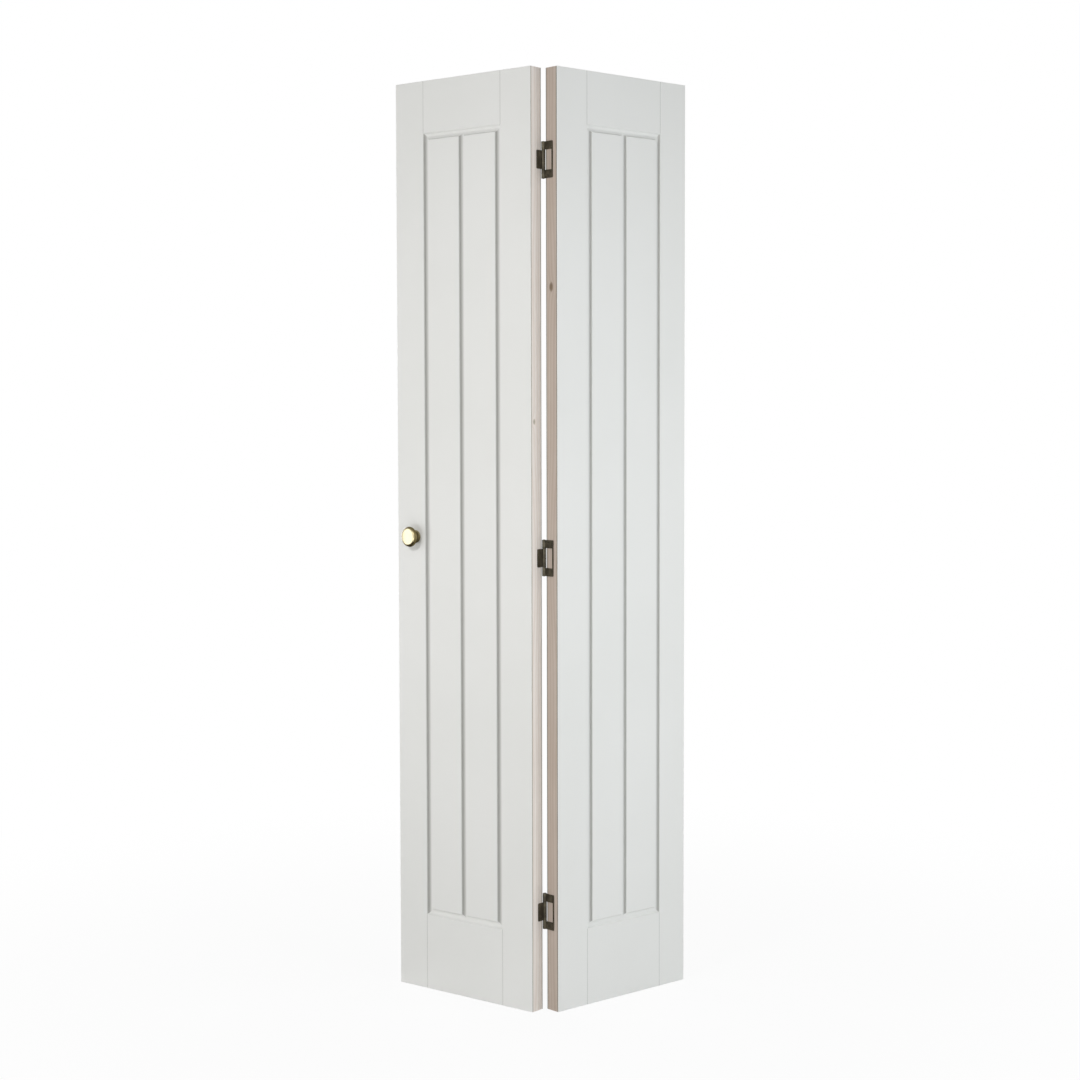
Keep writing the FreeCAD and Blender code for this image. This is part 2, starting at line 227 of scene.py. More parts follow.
class Finish:
    """The node tree of a material or of the world."""

    def __init__(self, owner):
        owner.use_nodes = True
        self.owner = owner
        self.tree = owner.node_tree
        self.tree.nodes.clear()

    def add(self, kind, settings, values, output=0):
        """Adds a node: its settings first, then the values or wires of its sockets."""
        node = self.tree.nodes.new(kind)
        for name, value in settings.items():
            setattr(node, name, value)
        for name, value in values.items():
            if isinstance(value, Wire):
                self.tree.links.new(value.socket, node.inputs[name])
            else:
                node.inputs[name].default_value = value
        return Wire(self, node.outputs[output]) if len(node.outputs) else None

    def place(self):
        """Object coordinates, which are the door's own frame in metres."""
        return self.add("ShaderNodeTexCoord", {}, {}, "Object")

    def mapped(self, vector, **change):
        """A vector that is moved, turned or scaled: change is a Location, Rotation or Scale."""
        values = {"Vector": vector, **change}
        return self.add("ShaderNodeMapping", {"vector_type": "POINT"}, values)

    def flat(self, side):
        """Object coordinates turned into a leaf's flat frame, as a vector (u, v, w)."""
        moved = self.mapped(self.place(), Location=tuple(-HINGE_LINE))
        return self.mapped(moved, Rotation=(0.0, 0.0, -side * FOLD))

    def parts(self, vector):
        """The three numbers of a vector."""
        return [self.add("ShaderNodeSeparateXYZ", {}, {"Vector": vector}, k) for k in range(3)]

    def shade(self):
        """The attribute that new_piece stores: painted shade on skins, painted dark reflection on
        the knob.
        """
        return self.add("ShaderNodeAttribute", {"attribute_name": "shade"}, {}, "Fac")

    def noise(self, vector, scale, detail=2.0, roughness=0.5):
        values = {"Vector": vector, "Scale": scale, "Detail": detail, "Roughness": roughness}
        return self.add("ShaderNodeTexNoise", {}, values, "Fac")

    def blend(self, factor, first, second):
        """Colour that goes from first to second as factor goes from 0 to 1."""
        colours = [c if isinstance(c, Wire) else (*c, 1.0) for c in (first, second)]
        values = {"Factor": factor, 6: colours[0], 7: colours[1]}
        return self.add("ShaderNodeMix", {"data_type": "RGBA"}, values, 2)

    def bump(self, height, strength, depth):
        values = {"Height": height, "Strength": strength, "Distance": depth}
        return self.add("ShaderNodeBump", {}, values)

    def surface(self, values):
        shader = self.add("ShaderNodeBsdfPrincipled", {}, values)
        self.add("ShaderNodeOutputMaterial", {}, {"Surface": shader})
        return self.owner


def new_finish(name):
    return Finish(bpy.data.materials.new(name))


# Materials: noise scales in cells a metre, bump depths in metres

def satin_primer():
    """Smooth off-white factory coat with a trace of the roller along the leaf."""
    f = new_finish("satin_primer")
    place = f.place()
    cloud = f.noise(place, 2.2, detail=3.0)
    nap = f.noise(f.mapped(place, Scale=(1.0, 1.0, 0.06)), 900.0, detail=3.0, roughness=0.6)
    peel = f.noise(place, 420.0)
    colour = f.blend(cloud.step(0.3, 0.7), (0.765, 0.772, 0.750), (0.790, 0.795, 0.776))
    return f.surface({
        # painted shade: the coat darkens along the grooves' and scored lines' dark lines
        "Base Color": f.blend(f.shade() * GROOVE_TINT, colour, GROOVE_SHADE_TONE),
        "Roughness": 0.40 + 0.10 * nap,
        "IOR": 1.45,
        "Normal": f.bump(0.6 * nap + 0.4 * peel, 0.18, 0.0002),
    })


def board_edge(name, tones):
    """Sawn edge of pressed fibreboard: brown, matt and finely layered between two tones."""
    f = new_finish(name)
    layers = f.mapped(f.place(), Scale=(1.0, 1.0, 0.15))
    fibre = f.noise(layers, 1800.0, detail=4.0, roughness=0.7)
    return f.surface({
        "Base Color": f.blend(fibre.step(0.25, 0.75), *tones),
        "Roughness": 0.85,
        "Normal": f.bump(fibre, 0.4, 0.0003),
    })


def pine(name, side, along_height, tones, knots):
    """Bare softwood: rings round a heart outside the piece, which knots push aside.

    tones are its two early wood colours, its late wood colour and the colour of its knots.
    """
    f = new_finish(name)
    flat = f.flat(side)
    if not along_height:
        flat = f.mapped(flat, Rotation=(0.0, math.pi / 2, 0.0))
    u, v, w = f.parts(flat)
    drift = f.noise(f.mapped(flat, Scale=(1.0, 1.0, 0.5)), 3.0, detail=1.0)
    across = u - HEART_BESIDE * side
    deep = v + HEART_BEHIND
    radius = (across * across + deep * deep).root() + RING_DRIFT * drift
    knot_mask = 0.0
    for knot_v, knot_w, size in knots:
        dv = (v - knot_v) / size
        dw = (w - knot_w) / (KNOT_TALL * size)
        reach = dv * dv + dw * dw
        radius = radius + KNOT_PUSH / (1.0 + 1.2 * reach)
        knot_mask = (1.0 - reach.step(0.1, 1.4)).most(knot_mask)
    ring = (radius * RINGS_A_METRE).part()
    late = ring.step(0.30, 0.92) * (1.0 - ring.step(0.93, 1.0))
    fibre = f.noise(f.mapped(flat, Scale=(1.0, 1.0, 0.03)), 1500.0, detail=3.0, roughness=0.6)
    patch = f.noise(f.mapped(flat, Scale=(1.0, 1.0, 0.12)), 40.0)
    pale = f.blend(patch.step(0.25, 0.75), tones[0], tones[1])
    wood = f.blend(late * 0.40, pale, tones[2])
    wood = f.blend(fibre.step(0.45, 0.9) * 0.18, wood, tones[2])
    if knots:
        wood = f.blend(knot_mask, wood, tones[3])
    return f.surface({
        "Base Color": wood,
        "Roughness": 0.62 + 0.18 * fibre,
        "IOR": 1.4,
        "Normal": f.bump(fibre - 0.4 * late, 0.35, 0.0003),
    })


def kraft_paper():
    """Brown paper of felted fibre."""
    f = new_finish("kraft_paper")
    fibre = f.noise(f.place(), 700.0, detail=4.0, roughness=0.7)
    return f.surface({
        "Base Color": f.blend(fibre.step(0.3, 0.7), (0.330, 0.220, 0.125), (0.440, 0.310, 0.190)),
        "Roughness": 0.9,
        "Normal": f.bump(fibre, 0.3, 0.0003),
    })


def strip_steel():
    """Bright zinc-plated strip, drawn along its length."""
    f = new_finish("strip_steel")
    drawn = f.noise(f.mapped(f.place(), Scale=(1.0, 1.0, 0.05)), 2500.0, detail=3.0)
    return f.surface({
        "Base Color": f.blend(drawn, (0.560, 0.565, 0.570), (0.700, 0.705, 0.715)),
        "Metallic": 1.0,
        "Roughness": 0.28 + 0.2 * drawn,
        "Normal": f.bump(drawn, 0.2, 0.0001),
    })


def dark_bronze():
    """Brushed plate with a dark bronze coat that has thinned in patches."""
    f = new_finish("dark_bronze")
    place = f.place()
    brushed = f.noise(f.mapped(place, Scale=(1.0, 1.0, 0.04)), 2600.0, detail=3.0, roughness=0.6)
    patch = f.noise(place, 95.0, detail=3.0, roughness=0.6)
    return f.surface({
        "Base Color": f.blend(patch.step(0.35, 0.75), (0.062, 0.054, 0.038), (0.120, 0.106, 0.072)),
        "Metallic": 0.75,
        "Roughness": 0.34 + 0.16 * brushed + 0.08 * patch,
        "Normal": f.bump(brushed, 0.25, 0.0001),
    })


def polished_brass():
    """Lacquered brass, spun and buffed: the faintest haze, and painted dark reflection where the
    shade says so.
    """
    f = new_finish("polished_brass")
    haze = f.noise(f.place(), 130.0, detail=3.0, roughness=0.6)
    # painted dark reflection, from the shade attribute
    dark_reflection = f.shade()
    colour = f.blend(haze, (0.570, 0.505, 0.315), (0.630, 0.570, 0.385))
    return f.surface({
        "Base Color": f.blend(dark_reflection, colour, DARK_REFLECTION_TONE),
        "Metallic": 1.0,
        "Roughness": 0.13 + 0.08 * haze + 0.20 * dark_reflection,
        "Coat Weight": 0.2,
        "Coat Roughness": 0.12,
    })


# Places

class Leaf:
    """One leaf: its side of the hinge line, its body, and its size in its own flat frame."""

    def __init__(self, prefix, side):
        self.prefix = prefix
        self.side = side
        self.body = prefix + "_leaf"
        low, high = self.flat_box("front_skin")
        self.width, self.height = high[0], high[2]
        self.thickness = -low[1]

    def stand(self, points):
        """Flat frame to the door's frame: mirror the lead leaf, move off the hinge line, swing."""
        u, v, w = np.moveaxis(np.asarray(points, float), -1, 0)
        x = self.side * (u + AXIS_BESIDE)
        y = v - AXIS_BEHIND
        c, s = math.cos(self.side * FOLD), math.sin(self.side * FOLD)
        return np.stack([x * c - y * s, x * s + y * c, w], -1) + HINGE_LINE

    def lay(self, points):
        """The door's frame to the flat frame, the other way round."""
        x, y, w = np.moveaxis(np.asarray(points, float) - HINGE_LINE, -1, 0)
        c, s = math.cos(self.side * FOLD), math.sin(self.side * FOLD)
        u = self.side * (x * c + y * s) - AXIS_BESIDE
        v = y * c - x * s + AXIS_BEHIND
        return np.stack([u, v, w], -1)

    def mesh(self, node):
        return nodes[self.prefix + "_" + node].data

    def flat_points(self, node):
        mesh = self.mesh(node)
        points = np.zeros(len(mesh.vertices) * 3, np.float32)
        mesh.vertices.foreach_get("co", points)
        return self.lay(points.reshape(-1, 3))

    def flat_box(self, node):
        points = self.flat_points(node)
        return points.min(0), points.max(0)


# Meshes

def new_object(name, data):
    made = bpy.data.objects.new(name, data)
    bpy.context.scene.collection.objects.link(made)
    return made


def clean(mesh, flat_angle=None):
    """Joins coinciding points, and faces that turn by less than flat_angle degrees."""
    merged = bmesh.new()
    merged.from_mesh(mesh)
    bmesh.ops.remove_doubles(merged, verts=merged.verts, dist=JOIN_DISTANCE)
    if flat_angle is not None:
        bmesh.ops.dissolve_limit(merged, angle_limit=math.radians(flat_angle),
                                 verts=merged.verts, edges=merged.edges)
    merged.to_mesh(mesh)
    merged.free()


def smooth(mesh, crease):
    """Smooth shading, with sharp edges where faces turn by more than crease degrees."""
    mesh.polygons.foreach_set("use_smooth", np.ones(len(mesh.polygons), bool))
    mesh.set_sharp_from_angle(angle=math.radians(crease))


def new_piece(name, points, faces, crease=25.0, flipped=False, kinds=None, shades=None):
    """A mesh object from arrays of points and faces, with coinciding points joined.

    kinds is each face's material index and shades each point's value of the attribute "shade".
    """
    faces = faces[:, ::-1] if flipped else faces
    mesh = bpy.data.meshes.new(name)
    mesh.from_pydata(points.tolist(), [], faces.tolist())
    if kinds is not None:
        mesh.polygons.foreach_set("material_index", kinds.astype(np.int32))
    if shades is not None:
        shade = mesh.attributes.new("shade", "FLOAT", "POINT")
        shade.data.foreach_set("value", shades.astype(np.float32))
    clean(mesh)
    smooth(mesh, crease)
    return new_object(name, mesh)


def dress(piece, body, replaced, finishes):
    """Gives a finished piece its materials and what it stands for."""
    for material in finishes:
        piece.data.materials.append(material)
    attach(piece, body)
    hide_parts(*replaced)


def grid_faces(rows, columns, wrap=False):
    """Quads between the points of a grid. wrap joins the last column to the first."""
    strips = columns if wrap else columns - 1
    i, j = np.meshgrid(np.arange(rows - 1), np.arange(strips), indexing="ij")
    k = (j + 1) % columns
    corners = [i * columns + j, i * columns + k, (i + 1) * columns + k, (i + 1) * columns + j]
    return np.stack([c.ravel() for c in corners], -1)


def lathe(profile, centre, along, across, sides):
    """A profile of (radius, distance) pairs turned about a line.

    The point at angle a is centre + along * distance + radius * (across * cos a + third * sin a),
    where third is square to both.
    """
    radius, distance = np.asarray(profile, float).T
    along, across = np.asarray(along, float), np.asarray(across, float)
    third = np.cross(along, across)
    angle = np.linspace(0, 2 * np.pi, sides, endpoint=False)
    ring = np.cos(angle)[:, None] * across + np.sin(angle)[:, None] * third
    points = centre + along * distance[:, None, None] + radius[:, None, None] * ring
    return points.reshape(-1, 3), grid_faces(len(radius), sides, wrap=True)


def arc(centre, radius, start, end, steps):
    """Points (radius, distance) on a circle arc between two angles in degrees."""
    angle = np.radians(np.linspace(start, end, steps))
    return [(centre[0] + radius * math.cos(a), centre[1] + radius * math.sin(a)) for a in angle]


def solids_apart(mesh, points):
    """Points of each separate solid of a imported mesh.

    Every point takes the lowest label of the points that its edges lead to, until none changes.
    """
    places, same = np.unique(points.round(6), axis=0, return_inverse=True)
    ends = np.zeros(len(mesh.edges) * 2, np.int32)
    mesh.edges.foreach_get("vertices", ends)
    ends = same.ravel()[ends].reshape(-1, 2)
    label, last = np.arange(len(places)), None
    while last is None or (label != last).any():
        last = label.copy()
        lowest = last[ends].min(axis=1)
        np.minimum.at(label, ends[:, 0], lowest)
        np.minimum.at(label, ends[:, 1], lowest)
    return [places[label == k] for k in np.unique(label)]


# Skins

def groove(distance):
    """Depth at a distance from a valley line: depth * (1 - (distance / half) ^ power)."""
    share = np.clip(np.abs(distance) / GROOVE_HALF, 0, 1)
    return GROOVE_DEPTH * (1 - share ** GROOVE_POWER)


def groove_places(valley):
    """Places across a groove: valley + half * sin(angle), which crowds them at its arrises."""
    return valley + GROOVE_HALF * np.sin(np.linspace(-np.pi / 2, np.pi / 2, GROOVE_STEPS + 1))


class Moulding:
    """The moulded panel of a leaf: a mitred ring of grooves and one groove between its planks.

    Its numbers are places of valley lines: u0, u1, w0 and w1 of the ring, middle of the planks.
    """

    def __init__(self, leaf):
        self.u0 = HINGE_MARGINS[leaf.prefix] + GROOVE_HALF
        self.u1 = self.u0 + PANEL_WIDTH - 2 * GROOVE_HALF
        self.middle = (self.u0 + self.u1) / 2
        self.w0 = FOOT_MARGIN + GROOVE_HALF
        self.w1 = leaf.height - TOP_MARGIN - GROOVE_HALF
        self.valleys = (self.u0, self.middle, self.u1)
        self.shade_line = SHADE_LINES[leaf.prefix]

    def places(self):
        """Places along u and w at which the moulding needs points."""
        ends = (self.u0 - GROOVE_HALF, self.u1 + GROOVE_HALF)
        scores = [u + s * SCORE_HALF for u in ends for s in (-1, 1)]
        clear = [u + GROOVE_HALF * self.shade_line[2] for u in self.valleys]
        along_u = [groove_places(u) for u in self.valleys] + [scores, clear]
        spans = np.linspace(self.w0 + GROOVE_HALF, self.w1 - GROOVE_HALF, PANEL_SPANS + 1)[1:-1]
        along_w = [groove_places(self.w0), spans, groove_places(self.w1)]
        return (np.unique(np.concatenate(places).round(7)) for places in (along_u, along_w))

    def grooves(self, u, w):
        """Depth of the grooves.

        The ring is a groove whose distance is the larger of the distances past the sides of the
        rectangle of its valley lines.
        """
        u0, u1, w0, w1 = self.u0, self.u1, self.w0, self.w1
        past_u = np.abs(u - (u0 + u1) / 2) - (u1 - u0) / 2
        past_w = np.abs(w - (w0 + w1) / 2) - (w1 - w0) / 2
        between = np.where((w > w0) & (w < w1), groove(u - self.middle), 0)
        return np.maximum(groove(np.maximum(past_u, past_w)), between)

    def scores(self, u, w):
        """Depth of the scored lines, which carry the panel's sides on above and below it.

        It is depth * (1 - distance / half).
        """
        beyond = ((w <= self.w0 - GROOVE_HALF + JOIN_DISTANCE)
                  | (w >= self.w1 + GROOVE_HALF - JOIN_DISTANCE))
        off = np.minimum(np.abs(u - self.u0 + GROOVE_HALF), np.abs(u - self.u1 - GROOVE_HALF))
        return np.where(beyond, SCORE_DEPTH * np.clip(1 - off / SCORE_HALF, 0, 1), 0)

    def shade(self, u, w):
        """Painted shade of a groove, from 0 on the face to 1 along its dark line.

        The share climbs slowly to a line on the flank that faces the hinge edge, and falls off
        quickly from there. It ends at the mitre, where a level groove takes over: there the
        distance past the level valley is as large as the one past the upright valley. The top
        groove has a weaker line on its lower flank.
        """
        def line(off, start, peak, end):
            place = off / GROOVE_HALF
            climb, fall = (place - start) / (peak - start), (end - place) / (end - peak)
            return np.clip(np.minimum(climb, fall), 0, 1)

        off_u = [u - valley for valley in self.valleys]
        above_foot, above_top = w - self.w0, w - self.w1
        level = np.maximum(-above_foot, above_top)
        ahead = [-off_u[0] - level, -level - np.abs(off_u[1]), off_u[2] - level]
        upright = np.max([line(off, *self.shade_line) * np.clip(lead_in / MITRE_BLUR + 0.5, 0, 1)
                          for off, lead_in in zip(off_u, ahead)], axis=0)
        across = np.clip(np.min([off_u[0], -off_u[2]], axis=0) / GROOVE_HALF + 1, 0, 1)
        return np.maximum(upright, SHADE_TOP * line(-above_top, *TOP_SHADE_LINE) * across)


def border(length):
    """Places along one side of a skin and how deep its edge lies there.

    From the inner edge of the board, up its side, round the eased arris and past a narrow strip
    of the face. At angle a of the arris the place is arris * (1 - cos a) and the depth is
    arris * (1 - sin a).
    """
    turn = np.linspace(0, np.pi / 2, ARRIS_STEPS + 1)
    near = ARRIS * (1 - np.cos(turn))
    deep = ARRIS * (1 - np.sin(turn))
    start = np.concatenate([[0.0], near, [ARRIS + BESIDE_ARRIS]])
    start_depth = np.concatenate([[SKIN], deep, [0.0]])
    return start, start_depth, length - start[::-1], start_depth[::-1]


def bordered(inner, length):
    """The inner places of a skin between the places of its two borders, and the borders' depths."""
    low, low_depth, high, high_depth = border(length)
    depth = np.concatenate([low_depth, np.zeros(len(inner)), high_depth])
    return np.concatenate([low, inner, high]), depth


def split_quads(quads, depth, true_depth):
    """Two triangles a quad, cut along the diagonal whose middle is nearer the true depth."""
    rising = np.abs((depth[:-1, :-1] + depth[1:, 1:]) / 2 - true_depth)
    falling = np.abs((depth[:-1, 1:] + depth[1:, :-1]) / 2 - true_depth)
    take_rising = (rising <= falling).ravel()[:, None]
    a, b, c, d = quads.T
    first = np.where(take_rising, np.stack([a, b, c], -1), np.stack([a, b, d], -1))
    second = np.where(take_rising, np.stack([a, c, d], -1), np.stack([b, c, d], -1))
    return np.concatenate([first, second])


def skin(leaf, name, front):
    """Moulded skin: a sheet of even thickness over a grid of u and w.

    The depth of its outer surface is the deepest of the border, the grooves and the scored lines.
    The inner surface lies one thickness behind the grooves.
    """
    moulding = Moulding(leaf)
    inner_u, inner_w = moulding.places()
    u, side_u = bordered(inner_u, leaf.width)
    w, side_w = bordered(inner_w, leaf.height)
    grid_w, grid_u = np.meshgrid(w, u, indexing="ij")
    sides = np.maximum(side_w[:, None], side_u[None, :])
    grooves = moulding.grooves(grid_u, grid_w)
    carved = np.maximum(grooves, moulding.scores(grid_u, grid_w))
    outer, inner = np.maximum(sides, carved), SKIN + grooves

    # painted shade along the scored lines and along the grooves' dark lines
    scored = (carved - grooves) * (sides == 0) / SCORE_DEPTH
    shade = np.maximum(moulding.shade(grid_u, grid_w), SCORE_SHADE * scored)
    shades = np.concatenate([shade.ravel(), np.zeros(inner.size)])

    quads = grid_faces(len(w), len(u))
    centre_u = (grid_u[:-1, :-1] + grid_u[1:, 1:]) / 2
    centre_w = (grid_w[:-1, :-1] + grid_w[1:, 1:]) / 2
    true_inner = moulding.grooves(centre_u, centre_w)
    true_outer = np.maximum(true_inner, moulding.scores(centre_u, centre_w))
    flank = ((centre_u < TINY) | (centre_u > leaf.width - TINY)
             | (centre_w < TINY) | (centre_w > leaf.height - TINY))
    sawn = flank & (np.minimum(outer[:-1, :-1], outer[1:, 1:]) >= ARRIS - TINY)
    triangles = np.concatenate([
        split_quads(quads, outer, true_outer),
        split_quads(quads, inner, true_inner + SKIN)[:, ::-1] + grid_u.size,
    ])
    kinds = np.concatenate([np.tile(sawn.ravel(), 2), np.ones(2 * len(quads), bool)])

    depths = np.stack([outer, inner])
    v = depths - leaf.thickness if front else -depths
    points = np.stack(np.broadcast_arrays(grid_u, v, grid_w), -1).reshape(-1, 3)
    return new_piece(name, leaf.stand(points), triangles, flipped=front != (leaf.side > 0),
                     kinds=kinds, shades=shades)


# Hinges

def plate(name, node):
    """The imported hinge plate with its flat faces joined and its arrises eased."""
    mesh = nodes[node].data.copy()
    mesh.materials.clear()
    clean(mesh, flat_angle=1.0)
    smooth(mesh, crease=12.0)
    made = new_object(name, mesh)
    eased = made.modifiers.new("eased", "BEVEL")
    eased.width = PLATE_EASE
    eased.segments = 2
    eased.limit_method = "ANGLE"
    eased.angle_limit = math.radians(50)
    eased.harden_normals = True
    return made


def cross_recess(x, z, deep, reach, half_width):
    """Depth of a cross recess, the larger depth of two crossed bars.

    A bar is deep * min(1, (reach - along) / wall) * min(1, (half_width - beside) / wall).
    """
    def bar(along, beside):
        return (np.clip((reach - np.abs(along)) / RECESS_WALL, 0, 1)
                * np.clip((half_width - np.abs(beside)) / RECESS_WALL, 0, 1))

    return deep * np.maximum(bar(x, z), bar(z, x))


def screw_heads(leaf, name, node):
    """Countersunk heads with a cross recess, each turned by its own angle, on short shanks.

    A screw is a grid of radius and angle, whose drop below the head's face is that of its ring
    and of the recess.
    """
    points = leaf.flat_points(node)
    top = points[:, 0].min()
    screws = solids_apart(leaf.mesh(node), points)
    centres = [(screw.min(axis=0) + screw.max(axis=0))[1:] / 2 for screw in screws]
    recess_rings = [(radius, 0.0) for radius in np.linspace(0, 0.0021, 11)]
    radius, drop = np.array(recess_rings + SCREW_RINGS).T[:, :, None]
    angle = np.linspace(0, 2 * np.pi, SCREW_SIDES, endpoint=False)
    ring_y, ring_z = radius * np.cos(angle), radius * np.sin(angle)
    faces = grid_faces(len(radius), SCREW_SIDES, wrap=True)
    turns = np.random.default_rng(7).uniform(0, np.pi / 2, len(centres))
    all_points = []
    for (v, w), turn in zip(centres, turns):
        x, z = radius * np.cos(angle + turn), radius * np.sin(angle + turn)
        recess = cross_recess(x, z, *SCREW_RECESS) * (drop == 0)
        all_points.append(np.stack([top + drop + recess, v + ring_y, w + ring_z], -1))
    points = np.concatenate(all_points).reshape(-1, 3)
    faces = np.concatenate([faces + k * ring_y.size for k in range(len(centres))])
    return new_piece(name, leaf.stand(points), faces, crease=35.0, flipped=leaf.side > 0)


def barrels(leaf, name, node):
    """Barrels of one plate: sheet rolled about the hinge line, over the plate's own span.

    Outer and inner wall are arcs of the same angles, carried along the height. At a barrel's ends
    both draw in towards the middle of the sheet. The seam lies behind, beside the plate.
    """
    points = leaf.flat_points(node)
    knuckles = points[points[:, 1] > AXIS_BEHIND + 0.001]
    levels = np.unique(knuckles[:, 2].round(5))
    if leaf is jamb:
        half = len(levels) // 2
        spans = [(levels[0], levels[half - 1]), (levels[half], levels[-1])]
    else:
        spans = [(levels[0], levels[-1])]
    angle = np.radians(np.linspace(ROLL_START, ROLL_END, BARREL_STEPS + 1))
    angle = angle + (0.0 if leaf is jamb else LEAD_ROLL_TURN)
    loop = np.concatenate([angle, angle[::-1]])
    wall = np.where(np.arange(len(loop)) < len(angle), 1.0, -1.0)
    drawn_in = BARREL_EASE * np.array([1.0, 0.3, 0.0, 0.0, 0.3, 1.0])[:, None]
    radius = (BARREL_RADIUS - BARREL_SHEET / 2) + wall * (BARREL_SHEET / 2 - drawn_in)
    rows = len(drawn_in)
    strip = np.arange(len(angle) - 1)
    across = len(loop) - 1 - strip
    lid = np.stack([strip, strip + 1, across - 1, across], -1)
    faces = np.concatenate([grid_faces(rows, len(loop), wrap=True), lid[:, ::-1],
                            lid + (rows - 1) * len(loop)])
    ring_u, ring_v = radius * np.cos(loop) - AXIS_BESIDE, radius * np.sin(loop) + AXIS_BEHIND
    steps = BARREL_EASE * np.array([0.0, 0.3, 1.0])
    all_points = []
    for start, end in spans:
        start, end = start - BARREL_PAST, end + BARREL_PAST
        heights = np.concatenate([start + steps, end - steps[::-1]])[:, None]
        all_points.append(np.stack(np.broadcast_arrays(ring_u, ring_v, heights), -1))
    points = np.concatenate(all_points).reshape(-1, 3)
    faces = np.concatenate([faces + k * radius.size for k in range(len(spans))])
    return new_piece(name, leaf.stand(points), faces, crease=40.0, flipped=leaf.side < 0)


def pin(leaf, name, node):
    """Plain pin with a low dome at each end, a quarter of an ellipse in profile."""
    low, high = leaf.flat_box(node)
    centre = np.array([(low[0] + high[0]) / 2, (low[1] + high[1]) / 2, 0.0])
    dome = PIN_DOME * PIN_RADIUS
    bulge = [(PIN_RADIUS * math.cos(a), high[2] + dome * math.sin(a))
             for a in np.radians([0, 25, 50, 72, 90])]
    foot = [(r, low[2] + high[2] - z) for r, z in bulge[::-1]]
    points, faces = lathe(foot + bulge, centre, (0, 0, 1), (1, 0, 0), PIN_SIDES)
    return new_piece(name, leaf.stand(points), faces, crease=50.0, flipped=leaf.side < 0)


# Knob

def knob_turned(leaf, name, profile, dark_reflection, flipped):
    """A profile of the knob turned about its axis, from the leaf's front outwards."""
    low, high = leaf.flat_box("knob_face")
    centre = np.array([(low[0] + high[0]) / 2, -leaf.thickness, (low[2] + high[2]) / 2])
    points, faces = lathe(profile, centre, (0, -1, 0), (1, 0, 0), KNOB_SIDES)
    return new_piece(name, leaf.stand(points), faces, crease=40.0, flipped=flipped,
                     shades=np.repeat(dark_reflection, KNOB_SIDES))


def knob_face(leaf):
    """Spun face: a nearly flat crown, a round shoulder, a rolled rim and a short skirt behind it.

    Crown, shoulder and roll are circle arcs that meet without a kink, each taken from the slope
    where the last one ends.
    """
    low, high = leaf.flat_box("knob_face")
    radius = (high[0] - low[0]) / 2
    stand, back = -leaf.thickness - low[1], -leaf.thickness - high[1]
    slopes = np.radians([0.0, CROWN_SLOPE, SHOULDER_SLOPE, 180.0])
    crown = CROWN_SHARE * radius / math.sin(slopes[1])
    shoulder = (radius - CROWN_SHARE * radius - RIM_ROLL * (1 - math.sin(slopes[2]))) / (
        math.sin(slopes[2]) - math.sin(slopes[1]))
    profile = [(0.0, stand)]
    bends = zip((crown, shoulder, RIM_ROLL), slopes, slopes[1:], (14, 22, 14))
    for bend, start, end, steps in bends:
        r0, z0 = profile[-1]
        turn = np.linspace(start, end, steps)[1:]
        profile += list(zip(r0 + bend * (np.sin(turn) - math.sin(start)),
                            z0 - bend * (math.cos(start) - np.cos(turn))))
    skirt = profile[-1][0] - SKIRT_INSET
    profile += [(skirt, back), (0.0, back)]
    # painted dark reflection over the outer shoulder and the rim
    share = np.array([r for r, _ in profile]) / radius
    dark_reflection = np.clip((share - DARK_REFLECTION_START) / DARK_REFLECTION_SPREAD, 0, 1)
    return knob_turned(leaf, "lead_knob_spun_face", profile, dark_reflection, leaf.side > 0)


def knob_back(leaf):
    """Spun back: a base ring with an eased edge, a soft waist and a flare out to the rim.

    The flare's radius is neck + (rim - neck) * (0.3 * share ^ 2.2 + 0.7 * share), where share
    goes from 0 at the waist to 1 at the rim.
    """
    low, high = leaf.flat_box("knob_back")
    rim = (high[0] - low[0]) / 2
    rim_stand = -leaf.thickness - low[1]
    edge = arc((BASE_RADIUS - BASE_EASE, 0.0010), BASE_EASE, 0, 90, 6)
    foot = [(BORE_RADIUS, 0.0), (BASE_RADIUS - 0.0002, 0.0), (BASE_RADIUS, 0.0002)] + edge
    fillet = [(NECK_RADIUS + 0.0010, 0.0018), (NECK_RADIUS + 0.0002, 0.0026)]
    share = np.linspace(0, 1, 22)
    hollow = NECK_RADIUS + (rim - NECK_RADIUS) * (0.30 * share ** 2.2 + 0.70 * share)
    flare = list(zip(hollow, WAIST_STAND + (rim_stand - WAIST_STAND) * share))
    bore = [(BORE_RADIUS, rim_stand), (BORE_RADIUS, 0.0)]
    profile = foot + fillet + flare + bore
    # painted dark reflection over the whole back
    dark_reflection = np.full(len(profile), BACK_DARK_REFLECTION)
    return knob_turned(leaf, "lead_knob_spun_back", profile, dark_reflection, leaf.side < 0)


